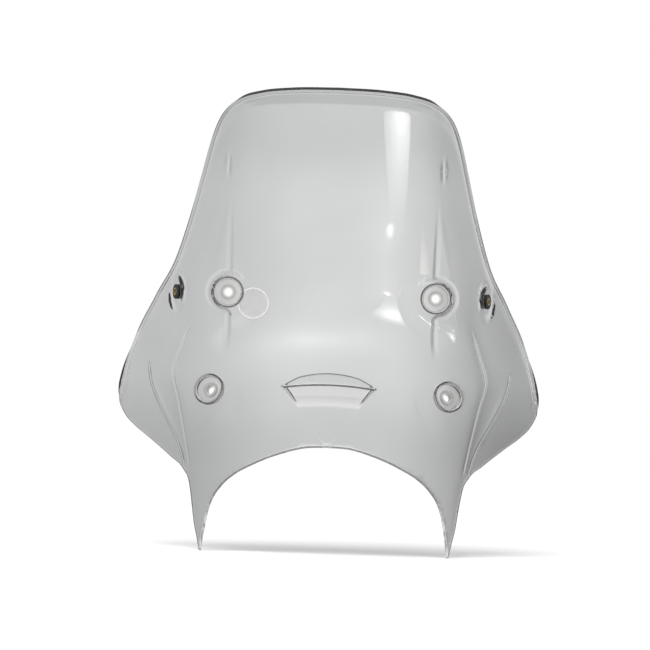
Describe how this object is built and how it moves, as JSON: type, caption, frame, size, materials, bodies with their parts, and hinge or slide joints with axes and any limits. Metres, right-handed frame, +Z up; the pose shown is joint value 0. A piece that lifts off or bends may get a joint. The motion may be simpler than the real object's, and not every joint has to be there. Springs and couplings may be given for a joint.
{
  "type": "motorcycle windshield",
  "caption": "Clear touring motorcycle windshield with wings, headlamp arch and air vent, on dished grommets with flanged sleeves.",
  "frame": {"origin": "midway between the two upper mounting sleeves, on the plane where they seat against the bracket", "axes": "+X to the viewer's right facing the front of the screen, +Y to the rider along the upper mounting axes, +Z up"},
  "size_m": [0.448, 0.1885, 0.49],
  "materials": {
    "clear_polycarbonate": "clear, glossy, with moulding sheen",
    "clear_silicone": "clear, smooth",
    "natural_nylon": "translucent, satin",
    "black_rubber": "matt",
    "brass": "turned",
    "clear_film": "clear film, slightly milky"
  },
  "bodies": {
    "root": {"windscreen": "clear_polycarbonate", "upper_left_cup_grommet": "clear_silicone", "upper_right_cup_grommet": "clear_silicone", "lower_left_cup_grommet": "clear_silicone", "lower_right_cup_grommet": "clear_silicone", "upper_left_sleeve": "natural_nylon", "upper_right_sleeve": "natural_nylon", "lower_left_sleeve": "natural_nylon", "lower_right_sleeve": "natural_nylon", "left_side_grommet": "black_rubber", "right_side_grommet": "black_rubber", "left_side_sleeve": "brass", "right_side_sleeve": "brass", "label_disc": "clear_film"}
  },
  "joints": []
}
